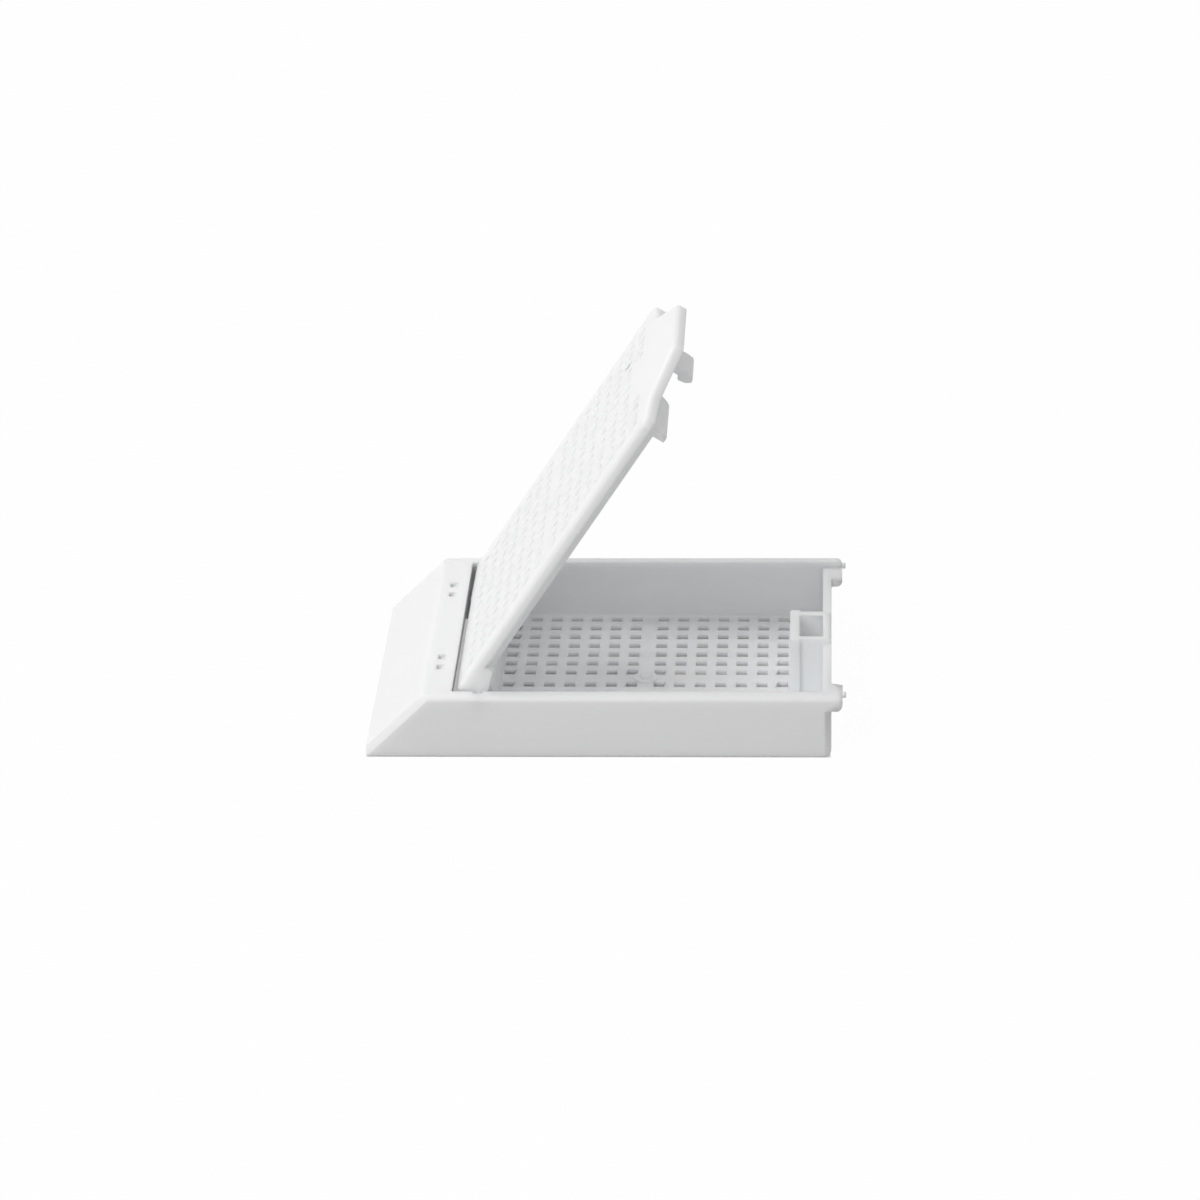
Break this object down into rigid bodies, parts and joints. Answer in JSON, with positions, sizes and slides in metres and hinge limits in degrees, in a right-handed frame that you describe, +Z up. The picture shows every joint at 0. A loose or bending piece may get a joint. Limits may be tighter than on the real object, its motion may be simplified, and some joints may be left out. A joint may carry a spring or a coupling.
{
  "type": "tissue cassette",
  "caption": "Flat perforated tray with a slanted writing end and a hinged perforated lid that latches over the opposite end, shown open.",
  "frame": {"origin": "middle of the tray's footprint, on its underside", "axes": "+X from the slanted writing end to the latch end, +Y across the tray to the far side, +Z up"},
  "size_m": [0.0408, 0.028, 0.0339],
  "materials": {
    "base_acetal": "satin white acetal, slightly translucent in thin walls",
    "lid_acetal": "satin white acetal, slightly translucent in thin walls"
  },
  "bodies": {
    "base": {"cassette_base": "base_acetal"},
    "lid_body": {"lid": "lid_acetal"}
  },
  "joints": [
    {"name": "lid_hinge", "type": "hinge", "parent": "base", "child": "lid_body", "pos_m": [-0.01075, 0, 0.00495], "axis": [0, -1, 0], "range_deg": [-56.8, 50]}
  ]
}
